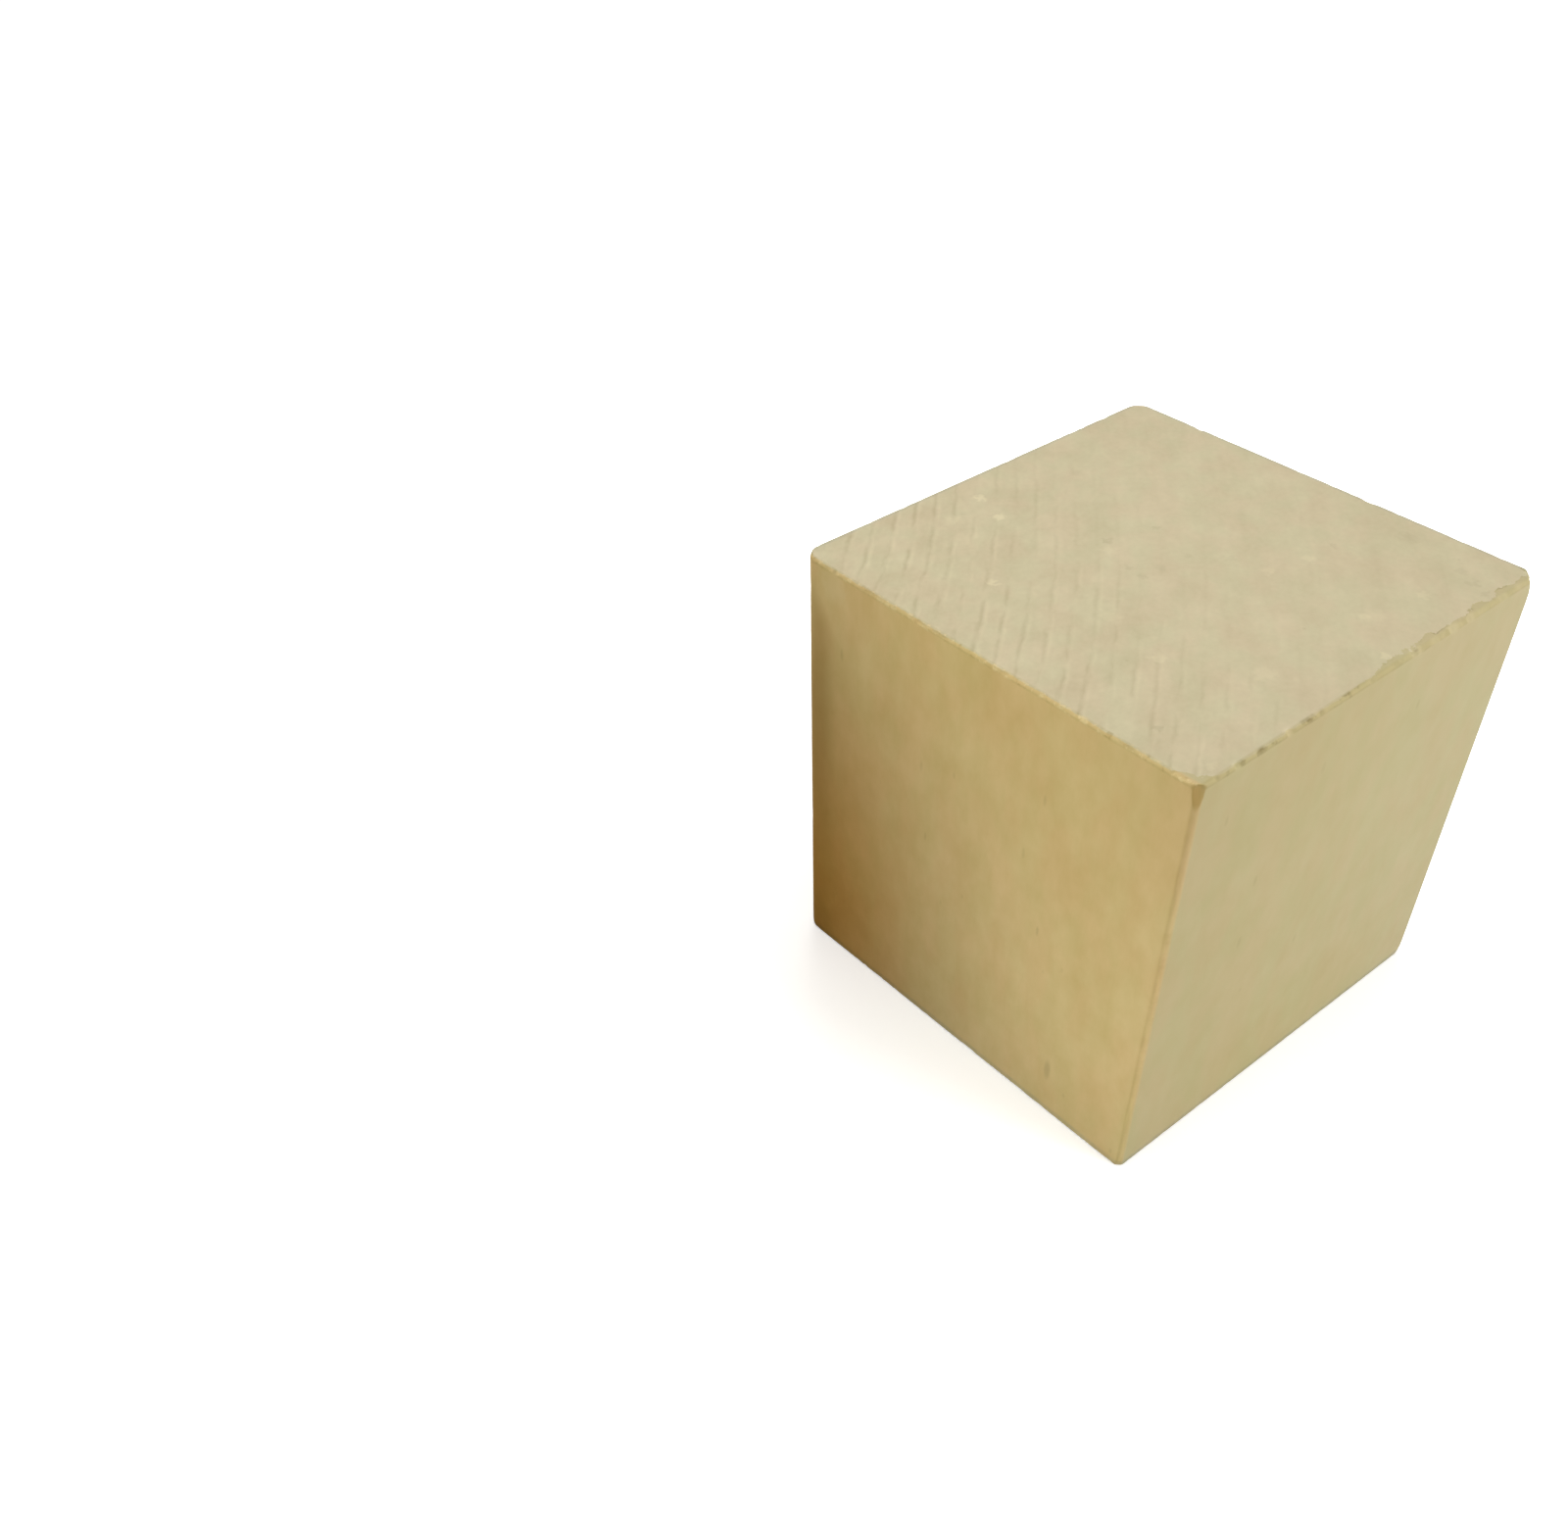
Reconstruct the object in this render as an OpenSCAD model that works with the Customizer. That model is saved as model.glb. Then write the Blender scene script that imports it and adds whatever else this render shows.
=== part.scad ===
// Solid wooden cube, cut from one piece of close-grained hardwood and sanded.
// Millimetres. The grain runs along Z, so the top and bottom faces are end grain.
// The origin is the centre of the bottom face.

/* [Block] */
// Length of each side of the cube
side = 50; // [20:1:100]

/* [Edges along the grain] */
// Radius sanded on the upright edge between the -X and -Y faces
front_round = 0.6; // [0.5:0.1:5]
// Radius sanded on the upright edge between the +X and -Y faces
right_round = 1.2; // [0.5:0.1:5]
// Radius sanded on the upright edge between the +X and +Y faces
back_round = 1.8; // [0.5:0.1:5]
// Radius sanded on the upright edge between the -X and +Y faces
left_round = 2.0; // [0.5:0.1:5]

/* [Edges around the end grain] */
// Radius left on the saw-cut edges of the top and bottom faces
end_round = 0.3; // [0.1:0.05:0.4]

/* [Hidden] */

// The upright edges in turn, anticlockwise from above
edge_rounds = [front_round, right_round, back_round, left_round];
wood_colour = [0.80, 0.74, 0.58];
$fn = 96;

// Half of an upright section, its outer side at x = depth, with both corners there rounded
module half_section(depth) {
    square([depth - end_round, side]);
    translate([0, end_round])
        square([depth, side - 2 * end_round]);
    for (z = [end_round, side - end_round])
        translate([depth - end_round, z])
            circle(r = end_round);
}

// Wood behind one side face, between the rounded edges at its two ends
module face_slab(first_round, last_round) {
    translate([side / 2 - last_round, 0, 0])
        rotate([90, 0, -90])
            linear_extrude(height = side - first_round - last_round)
                half_section(side / 2);
}

// One upright edge, with its two tips rounded
module edge_post(radius) {
    translate([-side / 2 + radius, -side / 2 + radius, 0])
        rotate_extrude()
            half_section(radius);
}

module wood_block() {
    color(wood_colour)
        union()
            for (i = [0 : 3])
                rotate([0, 0, 90 * i]) {
                    face_slab(edge_rounds[i], edge_rounds[(i + 1) % 4]);
                    edge_post(edge_rounds[i]);
                }
}

wood_block();
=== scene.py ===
import math
from types import SimpleNamespace

import bmesh
import bpy
from mathutils import Matrix, Quaternion, Vector, noise


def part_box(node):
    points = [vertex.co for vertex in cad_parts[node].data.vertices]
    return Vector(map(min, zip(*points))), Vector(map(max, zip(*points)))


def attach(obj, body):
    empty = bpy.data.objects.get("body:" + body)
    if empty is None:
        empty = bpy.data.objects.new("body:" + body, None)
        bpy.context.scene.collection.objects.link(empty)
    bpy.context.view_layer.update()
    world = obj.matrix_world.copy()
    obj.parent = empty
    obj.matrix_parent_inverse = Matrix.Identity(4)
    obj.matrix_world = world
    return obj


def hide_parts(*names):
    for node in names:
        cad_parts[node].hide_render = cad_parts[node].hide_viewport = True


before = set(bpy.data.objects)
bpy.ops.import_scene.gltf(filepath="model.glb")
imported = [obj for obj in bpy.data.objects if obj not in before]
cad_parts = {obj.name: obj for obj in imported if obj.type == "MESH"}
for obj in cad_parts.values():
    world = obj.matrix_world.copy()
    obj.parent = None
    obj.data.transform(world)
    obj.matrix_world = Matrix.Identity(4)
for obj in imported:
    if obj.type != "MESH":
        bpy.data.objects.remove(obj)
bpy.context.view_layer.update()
mm = 0.001
print("frame loaded")

# Viewpoint, in the block's own frame
camera = {
    "place": (-111.67, -79.28, 127.58),  # mm
    "aim": (-37.92, 13.05, 11.33),  # mm, a point on the optical axis
    "roll": -1.544,  # degrees
    "lens": 35.01,  # mm
    "filmWidth": 36,  # mm
    "shift": (-0.0013, 0.1232),  # the block stands below and right of the optical axis
    "nearest": 5,  # mm, nothing nearer is drawn
}


def addCamera():
    data = bpy.data.cameras.new("camera")
    data.lens = camera["lens"]
    data.sensor_width = camera["filmWidth"]
    data.sensor_fit = "HORIZONTAL"
    data.shift_x, data.shift_y = camera["shift"]
    data.clip_start = camera["nearest"] * mm
    obj = bpy.data.objects.new("camera", data)
    place = Vector(camera["place"]) * mm
    look = Vector(camera["aim"]) * mm - place
    roll = Quaternion((0, 0, 1), math.radians(camera["roll"]))
    turn = look.to_track_quat("-Z", "Y") @ roll
    obj.matrix_world = Matrix.Translation(place) @ turn.to_matrix().to_4x4()
    bpy.context.scene.collection.objects.link(obj)
    bpy.context.scene.camera = obj


# Soft boxes around the block. Angles are compass and height in degrees. Distance, size and aim are
# in mm, and power in watts
softBoxes = {
    "leftFront": {
        "angles": (190, 3), "far": 172, "size": 60, "aim": (-25, -27, 8), "spread": 33,
        "power": 0.0082, "tint": (0.925, 1, 0.945),
    },
    "leftHigh": {
        "angles": (154, 12), "far": 180, "size": 60, "aim": (-25, -10, 80), "spread": 51,
        "power": 0.0198, "tint": (0.96, 1, 0.845),
    },
    "rightFront": {
        "angles": (284, 9), "far": 290, "size": 80, "aim": (0, 0, 25), "spread": 180,
        "power": 0.657, "tint": (0.93, 0.945, 1),
    },
    "overhead": {
        "angles": (135, 85), "far": 200, "size": 200, "aim": (0, 0, 25), "spread": 180,
        "power": 0.336, "tint": (0.942, 0.967, 1),
    },
    "rear": {
        "angles": (50, 8), "far": 290, "size": 150, "aim": (0, 0, 25), "spread": 180,
        "power": 0.6, "tint": (1, 1, 1),
    },
}
softBoxCentre = (0, 0, 25)  # mm, which the angles and distances are taken from


def addSoftBoxes():
    middle = Vector(softBoxCentre)
    for name, box in softBoxes.items():
        data = bpy.data.lights.new(name, "AREA")
        data.shape = "SQUARE"
        data.size = box["size"] * mm
        data.energy = box["power"]
        data.color = box["tint"]
        data.spread = math.radians(box["spread"])
        compass, height = (math.radians(a) for a in box["angles"])
        across = math.cos(height)
        toward = Vector((math.cos(compass) * across, math.sin(compass) * across, math.sin(height)))
        place = middle + box["far"] * toward
        look = Vector(box["aim"]) - place
        obj = bpy.data.objects.new(name, data)
        turn = look.to_track_quat("-Z", "Y").to_matrix().to_4x4()
        obj.matrix_world = Matrix.Translation(place * mm) @ turn
        obj.visible_camera = False
        bpy.context.scene.collection.objects.link(obj)


# Shader maths as Python: one output socket of a node tree, which can be added, multiplied and so on
class Socket:
    def __init__(self, tree, link=None):
        self.tree = tree
        self.link = link

    # Any node: its type, its settings, then the values or links of its sockets by name or number
    def node(self, kind, settings=None, sockets=None, out=0):
        made = self.tree.nodes.new("ShaderNode" + kind)
        for name, value in (settings or {}).items():
            setattr(made, name, value)
        for key, value in (sockets or {}).items():
            if isinstance(value, Socket):
                self.tree.links.new(value.link, made.inputs[key])
            else:
                made.inputs[key].default_value = value
        return Socket(self.tree, made.outputs[out]) if len(made.outputs) else None

    def maths(self, how, first, second=0.0):
        return self.node("Math", {"operation": how}, {0: first, 1: second})

    def __add__(self, other):
        return self.maths("ADD", self, other)

    def __radd__(self, other):
        return self.maths("ADD", other, self)

    def __sub__(self, other):
        return self.maths("SUBTRACT", self, other)

    def __rsub__(self, other):
        return self.maths("SUBTRACT", other, self)

    def __mul__(self, other):
        return self.maths("MULTIPLY", self, other)

    def __rmul__(self, other):
        return self.maths("MULTIPLY", other, self)

    def __truediv__(self, other):
        return self.maths("DIVIDE", self, other)

    def __rtruediv__(self, other):
        return self.maths("DIVIDE", other, self)

    def call(self, how, other=0.0):
        return self.maths(how, self, other)

    # Smooth change from 0 to 1 as this value goes from low to high, which may be the smaller one
    def step(self, low, high):
        sockets = {"Value": self, "From Min": low, "From Max": high}
        return self.node("MapRange", {"interpolation_type": "SMOOTHSTEP"}, sockets)

    # Mix of two colours, which are the node's sockets 6 and 7, with the result at output 2
    def mix(self, share, first, second, how="MIX"):
        settings = {"data_type": "RGBA", "blend_type": how}
        return self.node("Mix", settings, {0: share, 6: first, 7: second}, out=2)

    def vector(self, x, y, z):
        return self.node("CombineXYZ", None, {"X": x, "Y": y, "Z": z})

    def vectorMaths(self, how, first, second, out="Vector"):
        return self.node("VectorMath", {"operation": how}, {0: first, 1: second}, out)

    # Noise about zero, seldom beyond 0.6 either way
    def noise(self, place, scale, detail, rough=0.5):
        sockets = {"Vector": place, "Scale": scale, "Detail": detail, "Roughness": rough}
        return self.node("TexNoise", None, sockets) * 2 - 1


def startShader(owner):
    owner.use_nodes = True
    owner.node_tree.nodes.clear()
    return Socket(owner.node_tree)


# 1 where the camera sees a surface, straight, in a reflection or through glass
def seenMask(s):
    straight, mirrored, through = (s.node("LightPath", None, None, "Is " + ray + " Ray")
                                   for ray in ("Camera", "Glossy", "Transmission"))
    return straight + mirrored + through


# A screen colour, 0 to 255, as the linear one that shaders take
def colour(red, green, blue):
    def linear(c):
        c /= 255
        return c / 12.92 if c < 0.04045 else ((c + 0.055) / 1.055) ** 2.4
    return (linear(red), linear(green), linear(blue), 1)


# Floor and room: pale, and seen as white where the block throws no shadow
studio = {
    "floorSize": 6.0,  # m
    "floorSeen": colour(230, 230, 228),
    "floorBounce": colour(104, 88, 62),
    "glowNear": colour(188, 188, 188),  # light added to the floor near the block, as it is seen
    "glowFar": colour(255, 255, 255),
    "glowHidden": colour(0, 0, 0),  # the same as it lights the block
    "glowReach": (28, 100),  # mm from the block's middle
    "roomSeen": colour(255, 255, 255),
    "roomLight": (0.12, 0.085, 0.045, 1),
}


def addFloor():
    material = bpy.data.materials.new("plain_floor")
    s = startShader(material)
    seen = seenMask(s)
    place = s.node("TexCoord", None, None, "Object")
    away = s.vectorMaths("DISTANCE", place, (0, 0, 0), "Value") / mm
    glow = s.mix(away.step(*studio["glowReach"]), studio["glowNear"], studio["glowFar"])
    glow = s.mix(seen, studio["glowHidden"], glow)
    paint = s.mix(seen, studio["floorBounce"], studio["floorSeen"])
    matt = s.node("BsdfDiffuse", None, {"Color": paint})
    light = s.node("Emission", None, {"Color": glow})
    s.node("OutputMaterial", None, {"Surface": s.node("AddShader", None, {0: matt, 1: light})})
    bm = bmesh.new()
    bmesh.ops.create_grid(bm, x_segments=1, y_segments=1, size=studio["floorSize"] / 2)
    mesh = bpy.data.meshes.new("floor")
    bm.to_mesh(mesh)
    bm.free()
    mesh.materials.append(material)
    obj = bpy.data.objects.new("floor", mesh)
    bpy.context.scene.collection.objects.link(obj)


def addRoom():
    world = bpy.data.worlds.new("room")
    bpy.context.scene.world = world
    s = startShader(world)
    light = s.mix(seenMask(s), studio["roomLight"], studio["roomSeen"])
    s.node("OutputWorld", None, {"Surface": s.node("Background", None, {"Color": light})})


# The block's shape and wear, in mm. Its size comes from the frame. The front upright edge is the
# one between -X and -Y, and the right, back and left ones follow it anticlockwise from above
block = {
    "uprightRounds": (0.6, 1.2, 2.0, 1.8),  # front, right, left and back edge
    "uprightSegments": 8,
    "endRound": 0.3,
    "endSegments": 3,
    "cutStep": 0.35,  # cells across the block
    "endHeights": (0.4, 0.7, 1.1, 1.7, 2.6, 3.6, 4.8),  # cells next to the top and the bottom
    "heightStep": 1.35,  # cells between those
    "sideWave": 0.02,  # sanding waves on the sides
    "waveScale": (0.12, 0.05),  # per mm, across and along the grain
    "waveStart": 7,  # the part of the noise that the waves come from
    "wavesFrom": 1,  # from the ends
    "endRidge": 0.004,  # ridges that the saw left on the end grain
    "ridgeScale": 0.9,  # per mm
    "edgeFlat": 0.586,  # flat on an upright edge, as a share of its rounding
    "edgeWander": 0.1,  # how much that share changes along the edge
    "edgeScale": (0.21, 3.1),  # per mm, and how much finer its second half as strong change is
    "edgesApart": 9,  # so that no two upright edges wear alike
    # Width and height of the flat worn on each corner, in the order of the upright rounds
    "topCorners": ((0.85, 3.4), (1.6, 4.5), (1.5, 2.0), (1.4, 2.0)),
    "bottomCorners": ((0.8, 1.6), (1.5, 3.0), (1.6, 2.5), (1.5, 2.5)),
    "endFlat": 0.17,  # flat on an end edge where no fibre tore
    "ragged": 0.15,  # how much wider it is where fibres tore
    "tornScale": (0.9, 2.2),  # per mm, for long and short tears
    "shortTears": 0.7,  # as a share of the long ones
    "endsApart": 5,  # so that the top and the bottom tear differently
    "frontEase": 0.15,  # how much more the right half of the front top edge was sanded
    "frontEaseFrom": (-6, 6),
}
# Chips in the edges of the top: place along the edge, half length and depth in mm, and the strength
# of the painted shade in them
chips = {
    "front": [
        (-22.6, 0.5, 0.2, 0.4), (-20.1, 0.4, 0.3, 0.6), (-17.0, 0.6, 0.2, 0.4),
        (-13.2, 0.4, 0.4, 0.9), (-8.7, 0.8, 0.2, 0.3), (-1.5, 0.6, 0.2, 0.2),
        (5.2, 0.9, 0.3, 0.3), (8.2, 0.6, 0.25, 0.1), (11.0, 0.7, 0.4, 0.25),
        (13.7, 0.7, 0.35, 0.2), (19.0, 0.9, 0.25, 0.1),
    ],
    "left": [(20.2, 0.5, 0.2, 0.5), (8.5, 0.7, 0.2, 0.1), (-3.0, 0.5, 0.2, 0.1)],
    "back": [],
    "right": [(-6.0, 0.7, 0.2, 0.4), (16.0, 0.5, 0.2, 0.3)],
}


closeEnough = 0.001  # mm, within which two places are one


def blockSide():
    low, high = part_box("wood_block")
    return (high.x - low.x) / mm


def buildBlock():
    side = blockSide()
    half = side / 2
    bm = bmesh.new()
    bmesh.ops.create_cube(bm, size=side, matrix=Matrix.Translation((0, 0, half)))

    def near(a, b):
        return abs(a - b) < closeEnough

    def bevel(edges, radius, segments):
        bmesh.ops.bevel(bm, geom=edges, affect="EDGES", offset=radius, offset_type="OFFSET",
                        segments=segments, profile=0.5, material=-1)

    # Round the four upright edges, each by its own amount, then the edges around both ends
    corners = ((-half, -half), (half, -half), (-half, half), (half, half))
    for (x, y), radius in zip(corners, block["uprightRounds"]):
        upright = [e for e in bm.edges
                   if all(near(v.co.x, x) and near(v.co.y, y) for v in e.verts)]
        bevel(upright, radius, block["uprightSegments"])
    ends = [e for e in bm.edges if near(e.verts[0].co.z, e.verts[1].co.z)]
    bevel(ends, block["endRound"], block["endSegments"])

    # Slice it into small cells that can carry the wear
    def slices(axis, places):
        normal = Vector([float(i == axis) for i in range(3)])
        for place in places:
            everything = bm.verts[:] + bm.edges[:] + bm.faces[:]
            bmesh.ops.bisect_plane(bm, geom=everything, dist=closeEnough / 10,
                                   plane_co=normal * place, plane_no=normal)

    count = round(side / block["cutStep"])
    across = [-half + (i + 0.5) * side / count for i in range(count)]
    inner = block["endHeights"][-1]
    rows = round((side - 2 * inner) / block["heightStep"])
    heights = [inner + (side - 2 * inner) * i / rows for i in range(1, rows)]
    for height in block["endHeights"]:
        heights += [height, side - height]
    slices(0, across)
    slices(1, across)
    slices(2, sorted(heights))

    bm.normal_update()
    worn = [wornPlace(vert.co, vert.normal, half) for vert in bm.verts]
    for vert, place in zip(bm.verts, worn):
        vert.co = place * mm
    for face in bm.faces:
        face.smooth = True
    bm.normal_update()
    mesh = bpy.data.meshes.new("wood_block_sawn")
    bm.to_mesh(mesh)
    bm.free()
    obj = bpy.data.objects.new("wood_block_sawn", mesh)
    bpy.context.scene.collection.objects.link(obj)
    return obj


def easeIn(value):
    value = min(1, max(0, value))
    return value * value * (3 - 2 * value)


# Where one point of the plain rounded block lies after sawing, sanding and wear
def wornPlace(place, normal, half):
    x, y, z = place
    outX, outY, outZ = (math.copysign(1, v) for v in (x, y, z - half))
    corner = (x > 0) + 2 * (y > 0)
    radius = block["uprightRounds"][corner]
    gapX = half - abs(x)
    gapY = half - abs(y)
    toEnd = half - abs(z - half)
    move = Vector()
    isOnEnd = abs(normal.z) > 0.9
    if isOnEnd:
        ridge = math.sin(ringDistance(x, y) * math.tau / rings["width"])
        move += normal * block["endRidge"] * (ridge + noise.noise(place * block["ridgeScale"]))
    elif toEnd > block["wavesFrom"]:
        across, up = block["waveScale"]
        wave = Vector((x * across, y * across, z * up + block["waveStart"]))
        move += normal * block["sideWave"] * noise.noise(wave)

    # Upright edges: a flat of changing width, and a small slanting one on each corner
    apart = block["edgesApart"]
    coarse, finer = block["edgeScale"]
    row = Vector((outX * apart, outY * apart, z * coarse))
    wander = noise.noise(row) + 0.5 * noise.noise(row * finer)
    flat = radius * (block["edgeFlat"] + block["edgeWander"] * wander)
    width, height = block["topCorners" if outZ > 0 else "bottomCorners"][corner]
    flat = max(flat, width * (1 - toEnd / height))
    if gapX + gapY < flat:
        move -= Vector((outX, outY, 0)) * (flat - gapX - gapY) / 2

    # End edges: torn fibres all round, and chips in the top ones
    coarse, finer = block["tornScale"]
    torn = noise.noise(Vector((x * coarse, y * coarse, outZ * block["endsApart"])))
    torn += block["shortTears"] * noise.noise(Vector((x * finer, y * finer, outZ)))
    depth = block["endFlat"] + block["ragged"] * max(0, torn)
    if gapY < gapX:
        edge, along = ("front" if y < 0 else "back"), x
    else:
        edge, along = ("left" if x < 0 else "right"), y
    if outZ > 0:
        if edge == "front":
            start, stop = block["frontEaseFrom"]
            depth += block["frontEase"] * easeIn((x - start) / (stop - start))
        # A chip keeps its depth out to half of its half length, and is gone at one and a half
        for middle, reach, deep, _ in chips[edge]:
            share = easeIn(1.5 - abs(along - middle) / reach)
            depth = max(depth, block["endFlat"] + deep * share)
    overX = max(0, radius - gapX)
    overY = max(0, radius - gapY)
    toSide = radius - math.hypot(overX, overY) + max(0, min(gapX, gapY) - radius)
    if toEnd + toSide < depth:
        inward = Vector((-outX * overX, -outY * overY, 0)).normalized()
        move += (inward - Vector((0, 0, outZ))) * (depth - toEnd - toSide) / 2
    return place + move


# Growth rings. Their centre lies far outside the block, so they cross the end grain as shallow arcs
rings = {
    "centre": (-187, 215),  # mm
    "width": 2.05,  # mm
    "wander": 0.5,  # mm
    "wanderScale": 0.06,  # per mm
    "wobble": 0.25,  # mm, at a finer scale
    "wobbleScale": 0.5,  # per mm
    "rise": 0.1,  # how fast both change along the grain, beside across it
    # Share of the way across a ring where its dark line starts, is darkest and stops
    "lineStart": (0.66, 0.87),
    "lineStop": (1.0, 0.88),
    "paleStart": (0, 0.05),  # and the same for the pale line after it
    "paleStop": (0.25, 0.08),
    "pale": 0.5,  # how strong that is beside the dark one
    "gaps": (-0.22, 0.28),  # where the lines break off, from the noise
}


def ringDistance(x, y):
    wander = noise.noise(Vector((x, y, 0)) * rings["wanderScale"]) * rings["wander"]
    return math.hypot(x - rings["centre"][0], y - rings["centre"][1]) + wander


wood = {
    "sideDark": colour(176, 162, 112),
    "sidePale": colour(208, 198, 162),
    "endDark": colour(180, 167, 132),
    "endPale": colour(224, 214, 182),
    # These multiply the colour under them
    # painted warm bounce light over the whole left face
    "leftPaintedBounce": (1.23, 1.056, 0.924, 1),
    # painted shade and warm bounce, towards the foot and the back of the left face
    "leftPaintedShade": (1.04, 0.77, 0.38, 1),
    # painted shade low in the middle of the front face
    "frontPaintedShade": (0.97, 0.965, 0.9, 1),
    "frontNear": (1.01, 1.005, 0.96, 1),
    "frontFar": (1.0, 1.018, 1.04, 1),
    # painted shade along the far top edges, the right upright edge and the bottom edges
    "rimPaintedShade": (0.8, 0.86, 0.96, 1),
    "pink": (1.015, 0.988, 0.988, 1),
    "green": (0.985, 1.008, 0.988, 1),
    # These are laid over it
    "fleck": colour(232, 222, 186),
    "speck": colour(128, 112, 76),
    "burnish": colour(168, 134, 54),
    "brown": colour(146, 112, 58),
    # painted brown shade beside the left upright edge
    "edgeShadeBrown": colour(148, 112, 44),
    # painted glints of torn fibres along the left top edge
    "fibreGlint": colour(226, 206, 158),
    # painted shadow in the chips, beside torn fibres and in dashes along the front top edge
    "notchShadow": colour(104, 90, 52),
    # painted shade on the flat of the front upright edge and on the left and front top edges
    "olivePaintedShade": colour(168, 154, 102),
    "endRough": 0.85,
    "sideRough": 0.6,
    "shine": 0.015,
    "bump": 0.2,
    "bumpDepth": 0.03,  # mm
    "endBump": 0.6,  # how high the grain stands on the ends, beside that on the sides
}
# Noise patterns: their scale per mm in three directions, their detail and their roughness. Those of
# the rings go across them, along them and up, and the others go along x, y and z
patterns = {
    "streak": ((1.2, 0.45, 1), 3, 0.55),
    "broad": ((0.25, 0.1, 1), 2, 0.5),
    "gaps": ((0.7, 0.196, 0.014), 3, 0.5),
    "hue": ((0.3, 0.2, 0.12), 2, 0.5),
    "blotch": ((0.3, 0.3, 0.3), 4, 0.5),
    "grain": ((1.4, 1.4, 1.4), 3, 0.6),
    "fibre": ((0.9, 0.9, 0.12), 4, 0.6),
    "mottle": ((0.5, 0.5, 0.35), 3, 0.5),
    "cloud": ((0.18, 0.18, 0.12), 2, 0.5),
    "fine": ((4, 4, 0.9), 2, 0.5),
    "jag": ((0.32, 0.32, 0.32), 5, 0.7),
    "patchy": ((0.2, 0.2, 0.5), 4, 0.6),
    "bits": ((1.1, 1.1, 1.1), 3, 0.6),
    "dashes": ((0.55, 0.55, 0.55), 3, 0.6),
    "shake": ((1.5, 1.5, 1.5), 2, 0.5),
}


# One of the patterns. Its start up the noise keeps it apart from one of a like scale
def pattern(s, name, place, start=0):
    scale, detail, rough = patterns[name]
    scaled = s.vectorMaths("MULTIPLY", place, scale)
    if start:
        scaled = s.vectorMaths("ADD", scaled, (0, 0, start))
    return s.noise(scaled, 1.0, detail, rough)


faceEdge = (0.8, 0.2)  # mm in from a side, where its mask starts and is full


# Where a point of the surface lies on the block, in mm, as sockets that every part below reads.
# The faces are masks, 1 on the face, and the edges are masks of the quarter around an upright one
def surfacePlace(s, side):
    half = side / 2
    start, full = faceEdge
    raw = s.node("TexCoord", None, None, "Object")
    place = s.vectorMaths("MULTIPLY", raw, (1 / mm, 1 / mm, 1 / mm))
    x, y, z = (s.node("SeparateXYZ", None, {"Vector": place}, axis) for axis in "XYZ")

    # Distance in from the sides, which are round at the upright edges, and from the ends
    gapX = half - x.call("ABSOLUTE")
    gapY = half - y.call("ABSOLUTE")
    front, right, left, back = block["uprightRounds"]
    isRight = x.call("GREATER_THAN", 0)
    isBack = y.call("GREATER_THAN", 0)
    radius = isRight * (right - front) + isBack * (left - front) + front
    radius = radius + isRight * isBack * (back - left - right + front)
    overX = (radius - gapX).call("MAXIMUM", 0)
    overY = (radius - gapY).call("MAXIMUM", 0)
    toSide = radius - (overX * overX + overY * overY).call("SQRT")
    toSide = toSide + (gapX.call("MINIMUM", gapY) - radius).call("MAXIMUM", 0)

    # Place across the rings and along them
    flowing = s.vector(x, y, z * rings["rise"])
    bend = s.noise(flowing, rings["wanderScale"], 1.0) * rings["wander"]
    bend = bend + s.noise(flowing, rings["wobbleScale"], 2.0) * rings["wobble"]
    ringX = x - rings["centre"][0]
    ringY = y - rings["centre"][1]
    distance = (ringX * ringX + ringY * ringY).call("SQRT") + bend
    along = ringY.call("ARCTAN2", ringX) * math.hypot(*rings["centre"])

    return SimpleNamespace(
        side=side, half=half, place=place, x=x, y=y, z=z,
        toSide=toSide,
        toEnd=half - (z - half).call("ABSOLUTE"),
        fromCorner=gapX + gapY,
        isTop=z.call("GREATER_THAN", half),
        frontEdge=(1 - isRight) * (1 - isBack),
        rightEdge=isRight * (1 - isBack),
        leftEdge=isBack * (1 - isRight),
        onLeft=x.step(-half + start, -half + full),
        onFront=y.step(-half + start, -half + full),
        distance=distance,
        ringPlace=s.vector(distance, along, z),
    )


# The margin of the end grain where sanding rubbed the side's colour over it. A pair gives where a
# change starts and where it is full, in mm
rubbed = {
    "reach": (3, 1),  # from the edge
    "width": 0.05,  # mm on any edge
    "left": 0.12,  # mm more on the left edge
    "front": 0.1,  # mm more on the front edge
    "eased": 0.75,  # mm more on the right part of that
    "easedFrom": (-9, 6),
    "tip": 0.8,  # mm more at the front corner
    "tipReach": (3.5, 0.5),
    "jag": 2.6,  # how ragged it is
    "soft": 0.06,
    "torn": 0.35,  # torn fibres beside it
    "tornDepth": (0.3, 0.1),
    "endDepth": (0.15, 0.03),
}


# Masks of the end grain, of the torn fibres along it and of the part of the block that was eased
def endMasks(s, at):
    low, high = rubbed["reach"]
    isEased = at.x.step(*rubbed["easedFrom"])
    rubFront = at.y.step(-at.half + low, -at.half + high)
    rubFront = rubFront * (isEased * rubbed["eased"] + rubbed["front"])
    rubLeft = at.x.step(-at.half + low, -at.half + high) * rubbed["left"]
    tip = (-at.half, -at.half, at.side)
    rubTip = s.vectorMaths("DISTANCE", at.place, tip, "Value").step(*rubbed["tipReach"])
    ragged = pattern(s, "jag", at.place) * rubbed["jag"] + 1
    rub = (rubFront + rubLeft + rubTip * rubbed["tip"]) * ragged + rubbed["width"]
    inside = at.toSide - rub
    end = at.toEnd.step(*rubbed["endDepth"]) * inside.step(-rubbed["soft"], rubbed["soft"])
    torn = (1 - end) * inside.step(-rubbed["torn"], 0.0) * at.toEnd.step(*rubbed["tornDepth"])
    return end, torn, isEased


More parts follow.
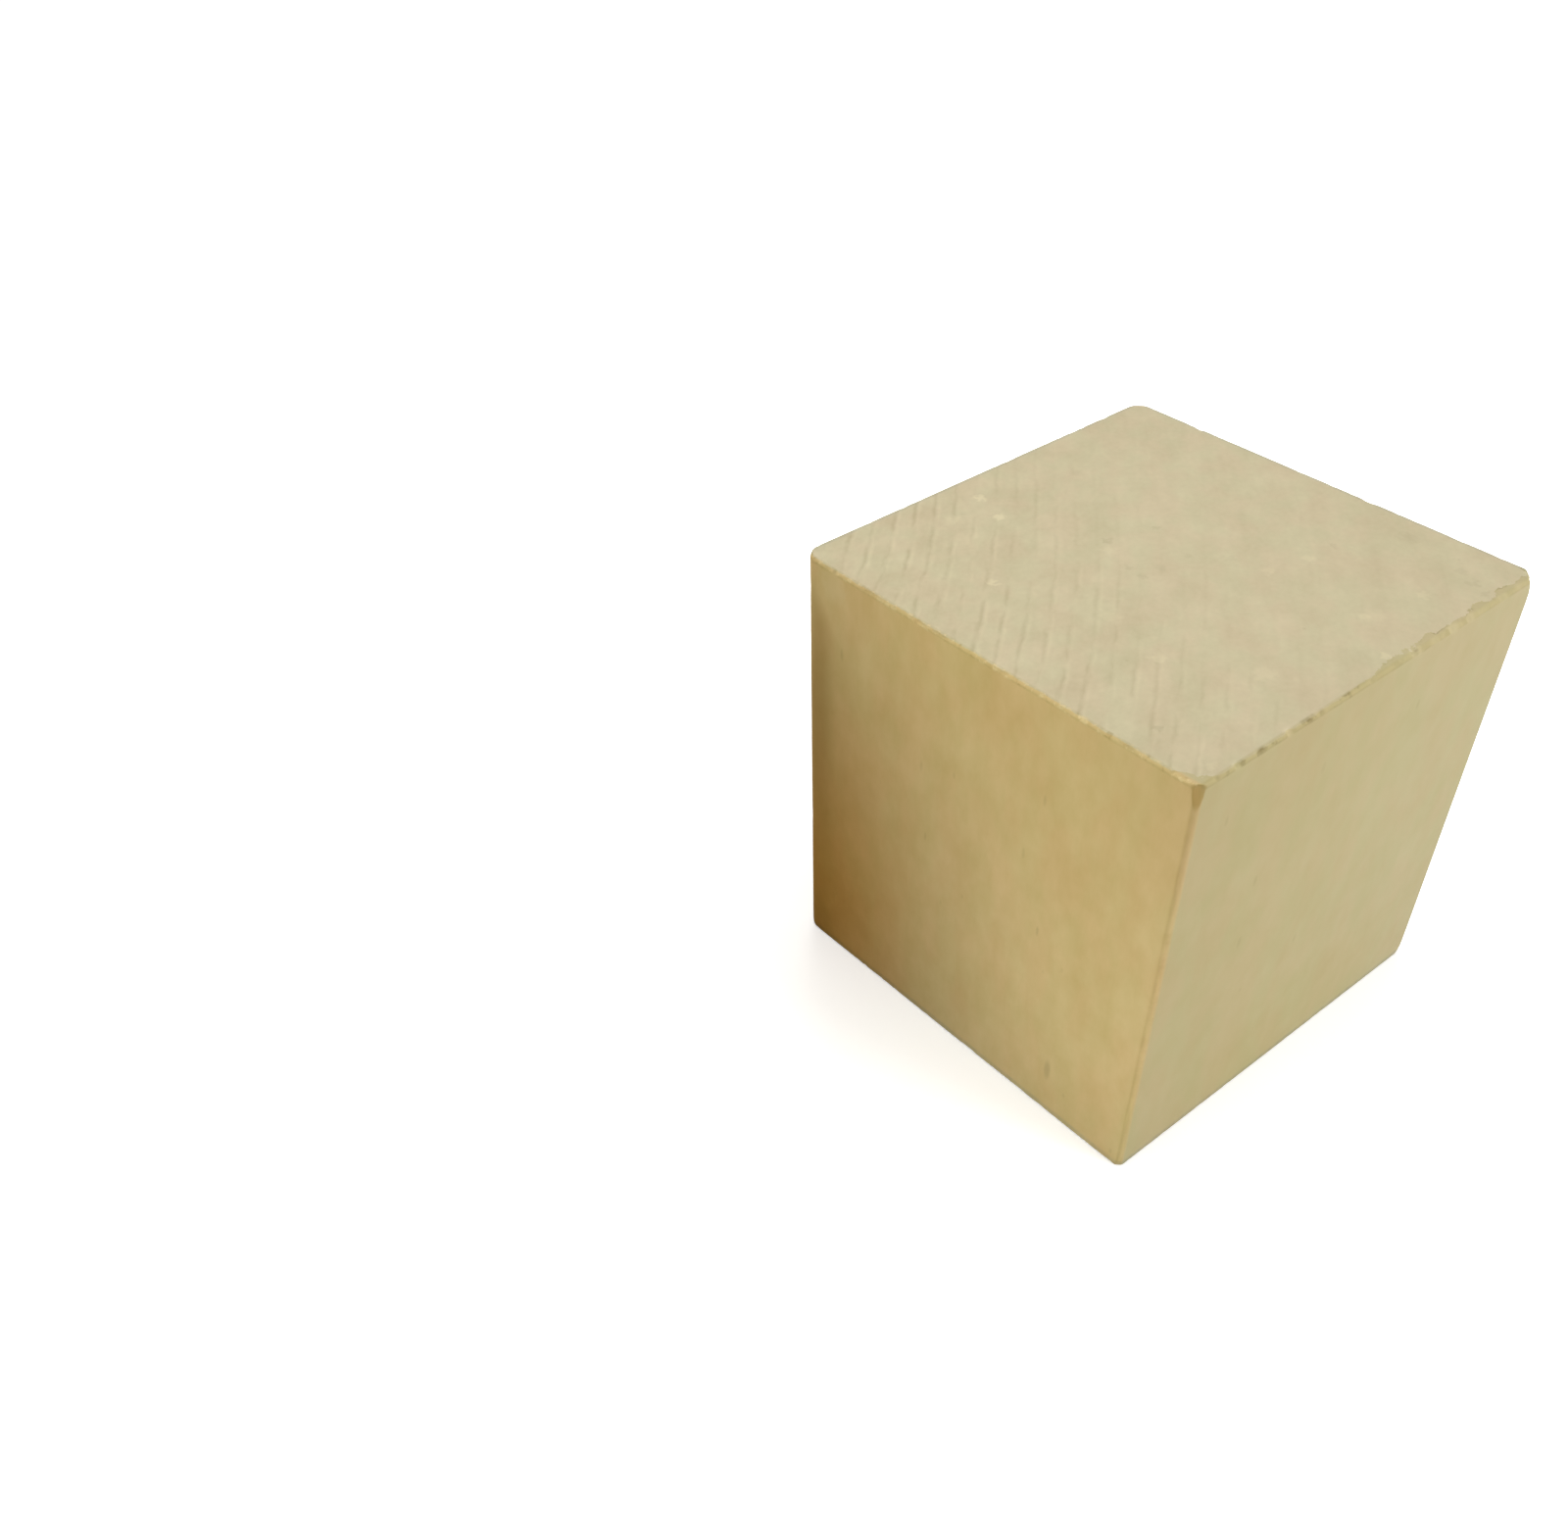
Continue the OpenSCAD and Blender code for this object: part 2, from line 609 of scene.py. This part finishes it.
# How much each pattern lightens or darkens the end grain, between its dark and its pale colour
endGrain = {
    "level": 0.55,
    "streak": 0.13,
    "blotch": 0.24,
    "blotchStart": 6,
    "broad": 0.18,
    "grain": 0.1,
    "line": 0.25,
    "fadeSlant": 0.35,  # the lines fade to the right and the front, along a slanting front
    "fade": (6.0, -26.0),  # mm
    "faded": 0.1,  # what is left of the lines there
    "calmed": 0.6,  # and what is left of the streaks and blotches
}


def endTone(s, at, grain, streak):
    fade = (at.x - at.y * endGrain["fadeSlant"]).step(*endGrain["fade"])
    phase = (at.distance / rings["width"]).call("FRACT")
    dark = phase.step(*rings["lineStart"]) * phase.step(*rings["lineStop"])
    pale = phase.step(*rings["paleStop"]) * phase.step(*rings["paleStart"])
    line = (dark - pale * rings["pale"]) * pattern(s, "gaps", at.ringPlace).step(*rings["gaps"])
    blotch = pattern(s, "blotch", at.place, endGrain["blotchStart"])
    calm = fade * (1 - endGrain["calmed"]) + endGrain["calmed"]
    level = (streak * endGrain["streak"] + blotch * endGrain["blotch"]) * calm
    level = level + pattern(s, "broad", at.ringPlace) * endGrain["broad"]
    level = level + grain * endGrain["grain"]
    lineFade = fade * (1 - endGrain["faded"]) + endGrain["faded"]
    level = level - line * lineFade * endGrain["line"] + endGrain["level"]
    return s.mix(level, wood["endDark"], wood["endPale"])


# The same for the sides, and where their shades start and are full, in mm
sideGrain = {
    "level": 0.52,
    "fibre": 0.03,
    "mottle": 0.11,
    "mottleStart": 9,
    "cloud": 0.11,
    "fine": 0.012,
    "leftPaintedShadeHeight": (45, 5),  # painted brown shade and warm bounce towards the foot of the left face, away from the front
    "underFrom": (-22, -4),  # painted shade, darker low on the front face, between these two and below the third
    "underTo": (24, 8),
    "underHeight": (18, 2),
    "frontChange": (-18, 24),  # from the near to the far colour along the front face
}


def sideTone(s, at, fibre, fine):
    mottle = pattern(s, "mottle", at.place, sideGrain["mottleStart"])
    cloud = pattern(s, "cloud", at.place)
    level = fibre * sideGrain["fibre"] + mottle * sideGrain["mottle"]
    level = level + cloud * sideGrain["cloud"] + fine * sideGrain["fine"]
    level = level * (at.onLeft + 1) + sideGrain["level"]
    tone = s.mix(level, wood["sideDark"], wood["sidePale"])
    # painted warm bounce light: the whole left face made redder
    tone = s.mix(at.onLeft, tone, wood["leftPaintedBounce"], "MULTIPLY")
    # painted shade: browner and darker towards the foot and the back of the left face
    leftPaintedShade = at.onLeft * at.y.step(0, at.half) * at.z.step(*sideGrain["leftPaintedShadeHeight"])
    tone = s.mix(leftPaintedShade, tone, wood["leftPaintedShade"], "MULTIPLY")
    # painted shade low in the middle of the front face
    under = at.x.step(*sideGrain["underFrom"]) * at.x.step(*sideGrain["underTo"])
    under = at.onFront * under * at.z.step(*sideGrain["underHeight"])
    tone = s.mix(under, tone, wood["frontPaintedShade"], "MULTIPLY")
    alongFront = s.mix(at.x.step(*sideGrain["frontChange"]), wood["frontNear"], wood["frontFar"])
    return s.mix(at.onFront, tone, alongFront, "MULTIPLY")


# Marks: place in mm across the face or up it, half size in mm and strength
marks = {
    "topFlecks": [
        (-4.3, 20.9, 0.9, 0.5), (-5.6, 16.9, 0.9, 0.5), (-11.0, 15.5, 2.2, 0.15),
        (-9.5, 19.5, 1.2, 0.15), (-15.1, 8.4, 0.8, 0.45), (-11.1, -3.1, 1.3, 0.15),
        (-13.1, -10.4, 1.0, 0.25), (-8.0, -18.2, 1.5, 0.2), (-2.2, 5.0, 1.1, 0.15),
        (6.3, -7.6, 0.9, 0.2), (11.0, -8.6, 0.9, 0.25), (7.0, -19.0, 1.4, 0.15),
        (2.3, -23.6, 0.8, 0.3), (-22.0, -23.6, 0.7, 0.2), (13.5, -19.9, 0.9, 0.2),
        (6.4, -18.5, 0.8, 0.2),
    ],
    "topSpecks": [
        (7.2, 18.1, 0.8, 0.07), (-1.0, 6.5, 0.7, 0.12), (4.6, 4.9, 0.6, 0.1),
        (-3.3, 1.6, 0.6, 0.1), (-3.5, -0.4, 0.7, 0.1), (-1.0, -0.4, 0.8, 0.08),
        (2.7, -0.8, 0.5, 0.08), (5.4, -3.8, 0.7, 0.08), (-21.2, -17.4, 0.6, 0.15),
        (21.5, -12.8, 1.4, 0.08), (14.8, -8.9, 0.6, 0.1), (19.9, -19.8, 0.8, 0.1),
        (18.7, -21.8, 0.9, 0.1), (18.0, -23.5, 0.7, 0.12),
    ],
    # the first is a painted highlight near the top back corner of the left face, the second a faint
    # pale patch
    "leftFlecksAndHighlight": [(20.2, 48.2, 2.6, 0.13), (13.6, 25.0, 4.5, 0.035)],
    "leftSpecks": [
        (-14.1, 6.2, 1.9, 0.25), (-9.3, 39.3, 0.9, 0.15), (-10.4, 23.6, 0.8, 0.2),
        (-7.5, 31.8, 0.9, 0.12), (5.7, 25.5, 0.7, 0.15), (6.8, 33.9, 0.9, 0.12),
        (18.9, 41.0, 1.0, 0.15),
    ],
    "frontSpecks": [
        (-12.7, 32.9, 0.9, 0.12), (-12.7, 25.0, 1.0, 0.12), (-2.1, 18.9, 0.9, 0.1),
        (8.4, 42.7, 0.8, 0.1), (-20.0, 43.9, 0.8, 0.1), (-6.0, 42.5, 1.0, 0.08),
    ],
}
markShape = {
    "core": 0.3,  # share of a mark that has its full strength
    "shake": 0.9,  # mm, how ragged the flecks and the specks of the top are
    "leftNarrow": 3.2,  # how much narrower than tall a speck is
    "frontNarrow": 2.5,
}
# Fine pores anywhere: scale per mm, where in its cell a pore starts and is full, and strength
pores = {"scale": (0.22, 0.22, 0.12), "size": (0.06, 0.02), "strength": 0.12}


# Sum of the named marks, each a soft spot, which is narrower across where narrow is above 1
def spots(s, across, up, name, narrow=1):
    here = s.vector(across * narrow, up, 0.0)
    total = 0.0
    for middle, height, size, strength in marks[name]:
        away = s.vectorMaths("DISTANCE", here, (middle * narrow, height, 0), "Value")
        total = away.step(size, size * markShape["core"]) * strength + total
    return total


def addMarks(s, at, end, tone):
    swapped = s.vector(at.y, at.x, at.z)
    shakyX = at.x + pattern(s, "shake", at.place) * markShape["shake"]
    shakyY = at.y + pattern(s, "shake", swapped) * markShape["shake"]
    onTop = end * at.isTop
    tone = s.mix(onTop * spots(s, shakyX, shakyY, "topFlecks"), tone, wood["fleck"])
    tone = s.mix(onTop * spots(s, shakyX, shakyY, "topSpecks"), tone, wood["speck"])
    # pale marks on the left face, one of them a painted highlight
    tone = s.mix(at.onLeft * spots(s, shakyY, at.z, "leftFlecksAndHighlight"), tone, wood["fleck"])
    leftSpecks = spots(s, at.y, at.z, "leftSpecks", markShape["leftNarrow"])
    tone = s.mix(at.onLeft * leftSpecks, tone, wood["speck"])
    frontSpecks = spots(s, at.x, at.z, "frontSpecks", markShape["frontNarrow"])
    tone = s.mix(at.onFront * frontSpecks, tone, wood["speck"])
    cells = s.vectorMaths("MULTIPLY", at.place, pores["scale"])
    pore = s.node("TexVoronoi", None, {"Vector": cells, "Scale": 1.0})
    return s.mix(pore.step(*pores["size"]) * pores["strength"], tone, wood["speck"])


# Wear and painted shade on the upright edges. A pair gives where it starts and where it is full: a
# width in mm from the edge, and a height in mm above the floor
facet = {"width": (0.6, 0.36), "height": (36, 3), "least": 0.06, "lower": 0.22}
brownLine = {
    "width": (0.75, 0.35), "top": (38, 33), "foot": (4, 14), "gaps": (-0.15, 0.3), "strength": 0.1,
}
# Painted brown shade beside the left edge, narrower towards the top, with a wide faint part
leftEdgeShade = {
    "width": (5.8, 2.8), "narrows": (41.5, 50), "narrower": 3.6,
    "height": (10, 36), "strength": 0.36,
    "foot": (7, 2), "footStrength": 0.15,
    "faintWidth": (10, 3), "faintHeight": (46, 36), "faint": 0.14,
    "turn": (2, 0.6), "behind": 0.2,  # share of it that is left round the corner
}
burnish = {"soft": 0.2, "strength": 0.5}  # on the flat worn on the front corner of the top


def addUprightWear(s, at, end, tone):
    # painted olive shade on the flat of the front upright edge, darker towards the foot
    olivePaintedShade = at.z.step(*facet["height"]) * facet["lower"] + facet["least"]
    olivePaintedShade = at.frontEdge * at.fromCorner.step(*facet["width"]) * olivePaintedShade
    tone = s.mix(olivePaintedShade, tone, wood["olivePaintedShade"])

    line = at.frontEdge * at.fromCorner.step(*brownLine["width"])
    line = line * pattern(s, "patchy", at.place).step(*brownLine["gaps"])
    line = line * at.z.step(*brownLine["top"]) * at.z.step(*brownLine["foot"])
    tone = s.mix(line * brownLine["strength"], tone, wood["brown"])

    # painted brown shade beside the left upright edge
    narrower = at.z.step(*leftEdgeShade["narrows"]) * leftEdgeShade["narrower"]
    strength = at.z.step(*leftEdgeShade["height"]) * leftEdgeShade["strength"]
    strength = strength + at.z.step(*leftEdgeShade["foot"]) * leftEdgeShade["footStrength"]
    margin = (at.fromCorner + narrower).step(*leftEdgeShade["width"]) * strength
    faint = at.fromCorner.step(*leftEdgeShade["faintWidth"])
    margin = margin + faint * at.z.step(*leftEdgeShade["faintHeight"]) * leftEdgeShade["faint"]
    start, full = leftEdgeShade["turn"]
    turned = at.x.step(-at.half + start, -at.half + full)
    turned = turned * (1 - leftEdgeShade["behind"]) + leftEdgeShade["behind"]
    tone = s.mix(at.leftEdge * margin * turned, tone, wood["edgeShadeBrown"])

    width, height = block["topCorners"][0]
    wedge = (at.fromCorner + at.toEnd * (width / height)).step(width + burnish["soft"], width)
    wedge = at.frontEdge * at.isTop * wedge * (1 - end)
    return s.mix(wedge * burnish["strength"], tone, wood["burnish"])


# Wear and painted light on the end edges: painted olive shade with painted gold glints and brown
# bits at the left, painted olive shade with painted shadow dashes at the front, and painted grey
# shade on the far edges of the top, the right upright edge and the bottom edges
endWear = {
    "rimWidth": (0.6, 0.28),  # mm from the edge
    # painted olive shade on the left top edge
    "leftOliveShade": 0.25,
    # painted glints of torn fibres along the left top edge
    "glintBits": (0.0, 0.25),
    "fibreGlint": 0.6,
    "brownBits": (-0.1, -0.35),
    "brown": 0.3,
    # painted olive shade on the front top edge
    "frontOliveShade": 0.4,
    "dashes": (0.05, 0.35),
    # painted shadow dashes along the front top edge and beside torn fibres
    "frontNotchShadow": 0.3,
    "easedLessShadow": 0.7,  # share of that painted shadow which is gone where the edge was eased
    "tornShadow": 0.4,
    # painted grey shade on the far top edges, the right upright edge and the bottom edges
    "farWidth": (0.7, 0.3),  # mm
    "farDepth": (0.8, 0.3),
    "far": 0.8,
    "rightWidth": (1.6, 0.8),
    "right": 0.4,
    "lowHeight": (1.1, 0.6),
    "lowBits": (-0.4, 0.3),
    "low": 0.6,
    "lowPatchy": 0.5,
    "chipSpread": 0.25,  # mm, painted shade around a chip
    "chipShare": 0.5,  # and that much of its half length
    "chipCore": 0.1,  # mm with all the painted shade
}


def addEndWear(s, at, end, torn, isEased, tone):
    rim = at.isTop * (at.toEnd + at.toSide).step(*endWear["rimWidth"])
    leftRim = rim * at.onLeft
    frontRim = rim * at.onFront
    bits = pattern(s, "bits", at.place)
    # painted olive shade on the left and front top edges
    tone = s.mix(leftRim * endWear["leftOliveShade"], tone, wood["olivePaintedShade"])
    # painted glints: pale gold bits where torn fibres on the left top edge catch light
    fibreGlint = bits.step(*endWear["glintBits"]) * endWear["fibreGlint"]
    tone = s.mix(leftRim * fibreGlint, tone, wood["fibreGlint"])
    brown = bits.step(*endWear["brownBits"]) * endWear["brown"]
    tone = s.mix(leftRim * brown, tone, wood["brown"])
    tone = s.mix(frontRim * endWear["frontOliveShade"], tone, wood["olivePaintedShade"])
    # painted shadow dashes along the front top edge and beside torn fibres
    dashes = pattern(s, "dashes", at.place).step(*endWear["dashes"])
    frontNotchShadow = dashes * (1 - isEased * endWear["easedLessShadow"]) * endWear["frontNotchShadow"]
    tone = s.mix(frontRim * frontNotchShadow, tone, wood["notchShadow"])
    tone = s.mix(torn * at.isTop * dashes * endWear["tornShadow"], tone, wood["notchShadow"])

    # painted grey shade on the far top edges, the right upright edge and, patchy, the bottom edges
    start, full = endWear["farWidth"]
    farRim = at.x.call("MAXIMUM", at.y).step(at.half - start, at.half - full)
    farRim = at.isTop * farRim * at.toEnd.step(*endWear["farDepth"]) * endWear["far"]
    rightRim = at.rightEdge * at.fromCorner.step(*endWear["rightWidth"])
    rightRim = rightRim * (1 - end) * endWear["right"]
    lowRim = bits.step(*endWear["lowBits"]) * endWear["lowPatchy"] + endWear["low"]
    lowRim = at.z.step(*endWear["lowHeight"]) * lowRim
    paintedRimShade = farRim.call("MAXIMUM", rightRim).call("MAXIMUM", lowRim)
    tone = s.mix(paintedRimShade, tone, wood["rimPaintedShade"], "MULTIPLY")

    # Painted shade in the chips
    half = at.half
    edgeAt = {"front": (None, -half), "back": (None, half),
              "left": (-half, None), "right": (half, None)}
    for name, listed in chips.items():
        for middle, reach, _, notchShadow in listed:
            chip = [middle if v is None else v for v in edgeAt[name]] + [at.side]
            away = s.vectorMaths("DISTANCE", at.place, chip, "Value")
            spread = endWear["chipSpread"] + reach * endWear["chipShare"]
            tone = s.mix(away.step(spread, endWear["chipCore"]) * notchShadow, tone, wood["notchShadow"])
    return tone


hueChange = (-0.35, 0.35)  # where in the noise the wood turns from pinker to greener


def woodMaterial(side):
    material = bpy.data.materials.new("bare_hardwood")
    s = startShader(material)
    at = surfacePlace(s, side)
    end, torn, isEased = endMasks(s, at)
    grain = pattern(s, "grain", at.place)
    streak = pattern(s, "streak", at.ringPlace)
    fibre = pattern(s, "fibre", at.place)
    fine = pattern(s, "fine", at.place)

    tone = s.mix(end, sideTone(s, at, fibre, fine), endTone(s, at, grain, streak))
    hue = pattern(s, "hue", at.ringPlace).step(*hueChange)
    tone = s.mix(1.0, tone, s.mix(hue, wood["pink"], wood["green"]), "MULTIPLY")
    tone = addMarks(s, at, end, tone)
    tone = addUprightWear(s, at, end, tone)
    tone = addEndWear(s, at, end, torn, isEased, tone)

    rough = end * (wood["endRough"] - wood["sideRough"]) + wood["sideRough"]
    relief = end * (grain + streak) * wood["endBump"] + (1 - end) * (fine + fibre)
    depth = wood["bumpDepth"] * mm
    bump = s.node("Bump", None, {"Strength": wood["bump"], "Distance": depth, "Height": relief})
    surface = s.node("BsdfPrincipled", None, {
        "Base Color": tone, "Roughness": rough, "Specular IOR Level": wood["shine"], "Normal": bump})
    s.node("OutputMaterial", None, {"Surface": surface})
    return material


addCamera()
addSoftBoxes()
addFloor()
addRoom()
print("camera, lights and floor placed")

sawnBlock = buildBlock()
sawnBlock.data.materials.append(woodMaterial(blockSide()))
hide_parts("wood_block")
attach(sawnBlock, "root")
print("block made:", len(sawnBlock.data.polygons), "faces")

bpy.context.scene.view_settings.view_transform = "Standard"
